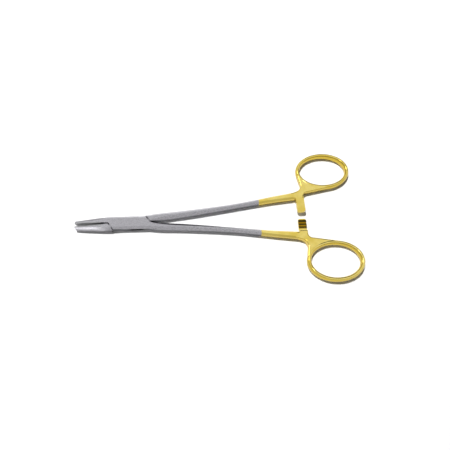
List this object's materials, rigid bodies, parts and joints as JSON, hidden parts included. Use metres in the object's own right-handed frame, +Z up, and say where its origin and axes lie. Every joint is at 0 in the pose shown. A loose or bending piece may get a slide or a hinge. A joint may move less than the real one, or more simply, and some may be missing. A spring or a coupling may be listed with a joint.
{
  "type": "surgical needle holder",
  "caption": "Locking forceps with a box-lock hinge, short insert-faced jaws, finger rings with gilt handles and a ratchet, for gripping suture needles.",
  "frame": {"origin": "on the resting plane, below the pivot of the box lock", "axes": "+X along the instrument towards the finger rings, +Y across it towards the tongue half's ring, +Z up along the pivot"},
  "size_m": [0.159, 0.079, 0.0048],
  "materials": {
    "box_half_steel": "satin stainless steel, polished gilt on the handle from before the ring",
    "tongue_half_steel": "satin stainless steel, polished gilt on the handle from before the ring",
    "pin_steel": "satin, ground flush with the box",
    "hard_metal": "matt grey hard metal, cross-cut working face"
  },
  "bodies": {
    "box_side": {"box_half": "box_half_steel", "pivot_pin": "pin_steel", "box_jaw_insert": "hard_metal"},
    "tongue_side": {"tongue_half": "tongue_half_steel", "tongue_jaw_insert": "hard_metal"}
  },
  "joints": [
    {"name": "box_lock", "type": "hinge", "parent": "box_side", "child": "tongue_side", "pos_m": [0, 0, 0.0024], "axis": [0, 0, 1], "range_deg": [-2.75, 40]}
  ]
}
